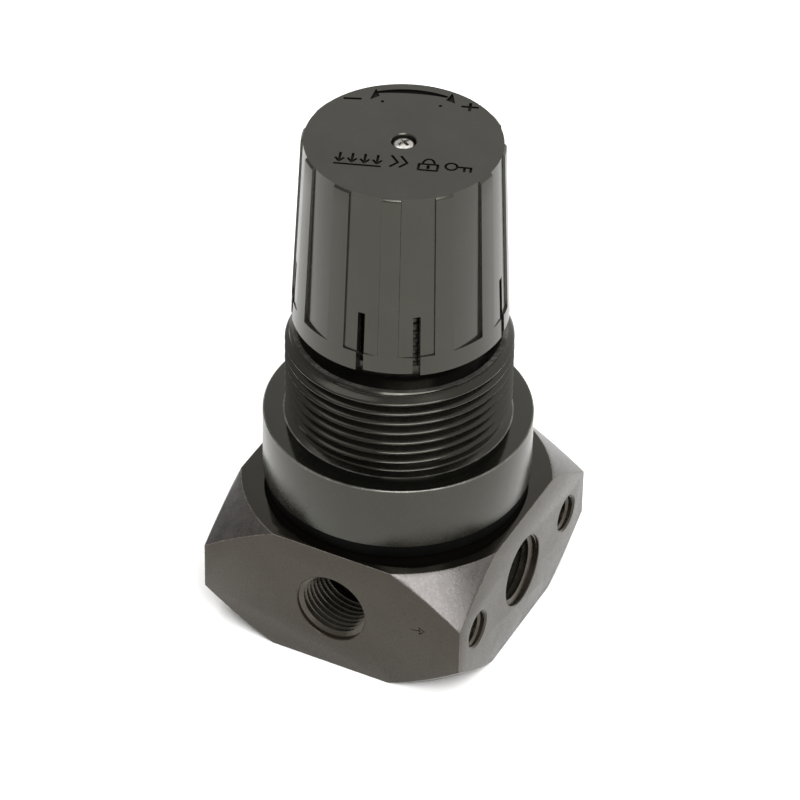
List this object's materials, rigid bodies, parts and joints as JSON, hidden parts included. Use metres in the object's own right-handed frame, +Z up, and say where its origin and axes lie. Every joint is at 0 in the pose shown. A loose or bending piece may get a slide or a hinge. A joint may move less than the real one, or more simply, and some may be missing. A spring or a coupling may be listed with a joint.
{
  "type": "miniature pressure regulator",
  "caption": "Compact compressed-air pressure regulator with chamfered square body, threaded panel-mount bonnet and ribbed push-to-lock adjusting knob.",
  "frame": {"origin": "centre of the body's bottom face, on the knob's axis", "axes": "+Z up along the knob's axis; the inlet port faces -Y, the outlet port +Y, the two gauge ports -X and +X"},
  "size_m": [0.0382, 0.0382, 0.0733],
  "materials": {
    "anodised_body": "satin black-bronze anodised bar",
    "anodised_bonnet": "satin dark grey anodised, turned",
    "knob_plastic": "dark grey moulded plastic with a soft gloss",
    "black_rubber": "matte black nitrile rubber",
    "bright_steel": "zinc-plated steel",
    "plated_steel": "zinc-plated pressed steel",
    "spring_steel": "drawn spring wire",
    "brass": "turned brass",
    "white_nylon": "natural nylon"
  },
  "bodies": {
    "housing": {"body_block": "anodised_body", "bonnet": "anodised_bonnet", "bonnet_gasket": "black_rubber", "slip_ring": "brass", "thrust_washer": "white_nylon", "valve_seat": "brass", "seat_o_ring": "black_rubber", "bottom_plug": "brass", "plug_o_ring": "black_rubber", "diaphragm": "black_rubber", "range_spring": "spring_steel", "valve_spring": "spring_steel"},
    "spindle": {"adjusting_screw": "bright_steel", "knob_screw": "bright_steel"},
    "knob": {"knob": "knob_plastic"},
    "nut": {"spring_nut": "brass"},
    "diaphragm_set": {"relief_hub": "brass", "diaphragm_plate": "plated_steel", "hub_nut": "brass"},
    "valve": {"valve_stem": "brass", "poppet_disc": "black_rubber", "tail_o_ring": "black_rubber"}
  },
  "joints": [
    {"name": "knob_turn", "type": "hinge", "parent": "housing", "child": "spindle", "pos_m": [0, 0, 0.0415], "axis": [0, 0, -1], "range_deg": [0, 1440]},
    {"name": "knob_push", "type": "slide", "parent": "spindle", "child": "knob", "axis": [0, 0, -1], "range_m": [0, 0.0015]},
    {"name": "nut_travel", "type": "slide", "parent": "housing", "child": "nut", "axis": [0, 0, -1], "range_m": [0, 0.004], "deforming": ["range_spring"]},
    {"name": "diaphragm_stroke", "type": "slide", "parent": "housing", "child": "diaphragm_set", "axis": [0, 0, -1], "range_m": [0, 0.0008], "stiffness_N_per_m": 500, "springref_m": -0.0005, "deforming": ["diaphragm", "range_spring"]},
    {"name": "valve_stroke", "type": "slide", "parent": "housing", "child": "valve", "axis": [0, 0, -1], "range_m": [0, 0.0008], "deforming": ["valve_spring"]}
  ],
  "couplings": [
    {"joint": "nut_travel", "follows": "knob_turn", "m_per_rad": 0.00015915},
    {"joint": "valve_stroke", "follows": "diaphragm_stroke", "ratio": 1}
  ]
}
